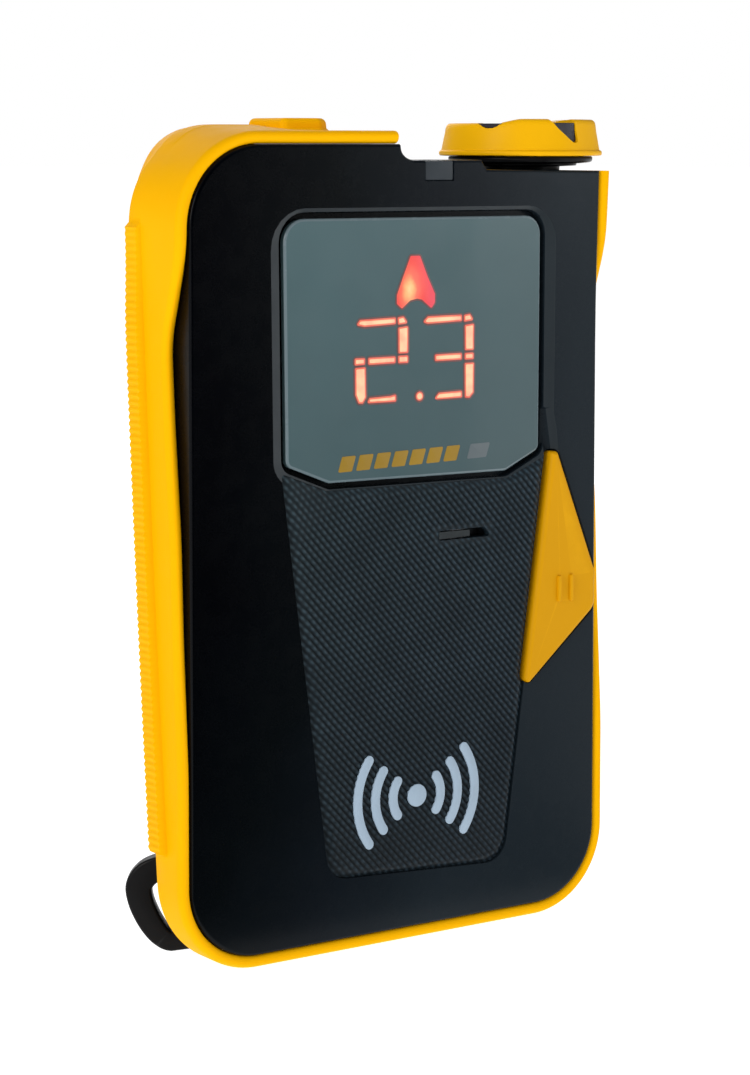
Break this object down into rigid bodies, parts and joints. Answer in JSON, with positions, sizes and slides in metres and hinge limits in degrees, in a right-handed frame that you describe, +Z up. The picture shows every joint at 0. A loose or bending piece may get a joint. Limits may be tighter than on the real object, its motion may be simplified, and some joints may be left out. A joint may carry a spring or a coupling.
{
  "type": "avalanche transceiver",
  "caption": "Hand-held avalanche transceiver: tapered two-shell housing with a wrap-round bumper, lit display, knurled grip, top mode knob, front button, rear battery door and lanyard eye.",
  "frame": {"origin": "middle of the width on the flat foot, under the knob's side of the housing depth: the point the transceiver stands on", "axes": "+Z up along the housing to the knob, -Y out of the front face, +X to the right seen from the front"},
  "size_m": [0.0773, 0.028, 0.115],
  "materials": {
    "bumper_rubber": "satin soft-touch moulded plastic, warm yellow",
    "knob_plastic": "satin moulded plastic, warm yellow",
    "cover_plastic": "satin black moulded plastic",
    "loop_plastic": "matt black moulded plastic",
    "insert_plastic": "matt black moulded plastic",
    "grip_rubber": "matt charcoal rubber with a fine diamond knurl",
    "seal_rubber": "matt black rubber",
    "lens_plastic": "smoked blue-grey window, gloss",
    "window_plastic": "smoked blue-grey light pipe",
    "board_laminate": "green solder mask",
    "display_plastic": "matt black display block",
    "led_plastic": "white light source",
    "steel": "nickel plated steel",
    "screw_steel": "stainless steel",
    "copper_wire": "enamelled copper winding",
    "ferrite": "dark sintered ferrite",
    "cell_jacket": "printed steel can, plain"
  },
  "bodies": {
    "housing": {"front_cover": "cover_plastic", "rear_cover": "cover_plastic", "side_bumper": "bumper_rubber", "housing_seal": "seal_rubber", "display_lens": "lens_plastic", "lens_gasket": "seal_rubber", "grip_pad": "grip_rubber", "status_light_window": "window_plastic", "button_membrane": "seal_rubber", "tact_switch": "steel", "knob_collar": "cover_plastic", "knob_o_ring": "seal_rubber", "rotary_switch": "steel", "main_board": "board_laminate", "display_module": "display_plastic", "speaker": "steel", "status_led": "led_plastic", "shield_can": "steel", "antenna_x_core": "ferrite", "antenna_x_coil": "copper_wire", "antenna_y_core": "ferrite", "antenna_y_coil": "copper_wire", "antenna_z_core": "ferrite", "antenna_z_coil": "copper_wire", "battery_tray": "cover_plastic", "battery_1": "cell_jacket", "battery_2": "cell_jacket", "battery_3": "cell_jacket", "contact_bridge_upper": "steel", "contact_bridge_lower": "steel", "contact_positive": "steel", "contact_negative": "steel", "lanyard_loop": "loop_plastic", "housing_screw_1": "screw_steel", "housing_screw_2": "screw_steel", "housing_screw_3": "screw_steel", "housing_screw_4": "screw_steel"},
    "options_button": {"options_button": "knob_plastic"},
    "mode_knob": {"mode_knob": "knob_plastic", "knob_shaft": "steel"},
    "knob_lock_button": {"knob_lock_button": "insert_plastic"},
    "battery_door": {"battery_door": "cover_plastic", "door_gasket": "seal_rubber"},
    "door_screw": {"door_screw": "screw_steel"}
  },
  "joints": [
    {"name": "options_button_press", "type": "slide", "parent": "housing", "child": "options_button", "axis": [0, 1, 0], "range_m": [0, 0.001], "stiffness_N_per_m": 500, "springref_m": -0.001},
    {"name": "mode_knob_turn", "type": "hinge", "parent": "housing", "child": "mode_knob", "pos_m": [0.0281, -0.0025, 0.1098], "axis": [0, 0, 1], "range_deg": [-90, 0]},
    {"name": "knob_lock_press", "type": "slide", "parent": "mode_knob", "child": "knob_lock_button", "axis": [0, 0, -1], "range_m": [0, 0.001], "stiffness_N_per_m": 400, "springref_m": -0.001},
    {"name": "battery_door_hinge", "type": "hinge", "parent": "housing", "child": "battery_door", "pos_m": [0, 0.00829, 0.0054], "axis": [-1, 0, 0], "range_deg": [0, 90]},
    {"name": "door_screw_turn", "type": "hinge", "parent": "battery_door", "child": "door_screw", "pos_m": [0, 0.01099, 0.0565], "axis": [0, 1, 0], "range_deg": [0, 90]}
  ]
}
